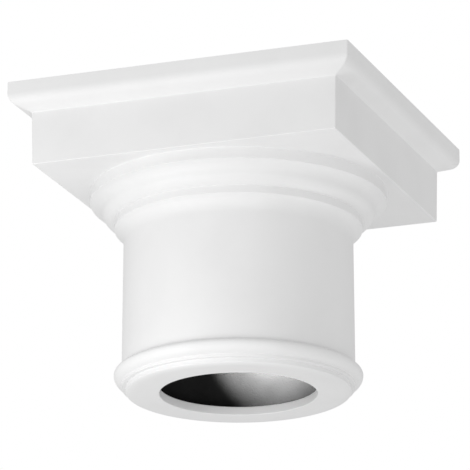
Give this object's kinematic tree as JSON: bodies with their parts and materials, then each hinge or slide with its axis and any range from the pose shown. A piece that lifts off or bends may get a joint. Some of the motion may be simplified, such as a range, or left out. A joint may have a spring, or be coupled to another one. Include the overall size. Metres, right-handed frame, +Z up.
{
  "type": "doric capital",
  "caption": "Square moulded abacus over a round echinus, a plain hollow neck and a beaded foot ring with an opening.",
  "frame": {"origin": "centre of the foot ring's underside, on the vertical axis", "axes": "+Z up the capital's axis, X and Y along the sides of the square abacus"},
  "size_m": [0.3356, 0.3356, 0.2749],
  "materials": {
    "primed_moulding": "smooth satin white primer on moulded rigid foam"
  },
  "bodies": {
    "root": {"capital": "primed_moulding"}
  },
  "joints": []
}
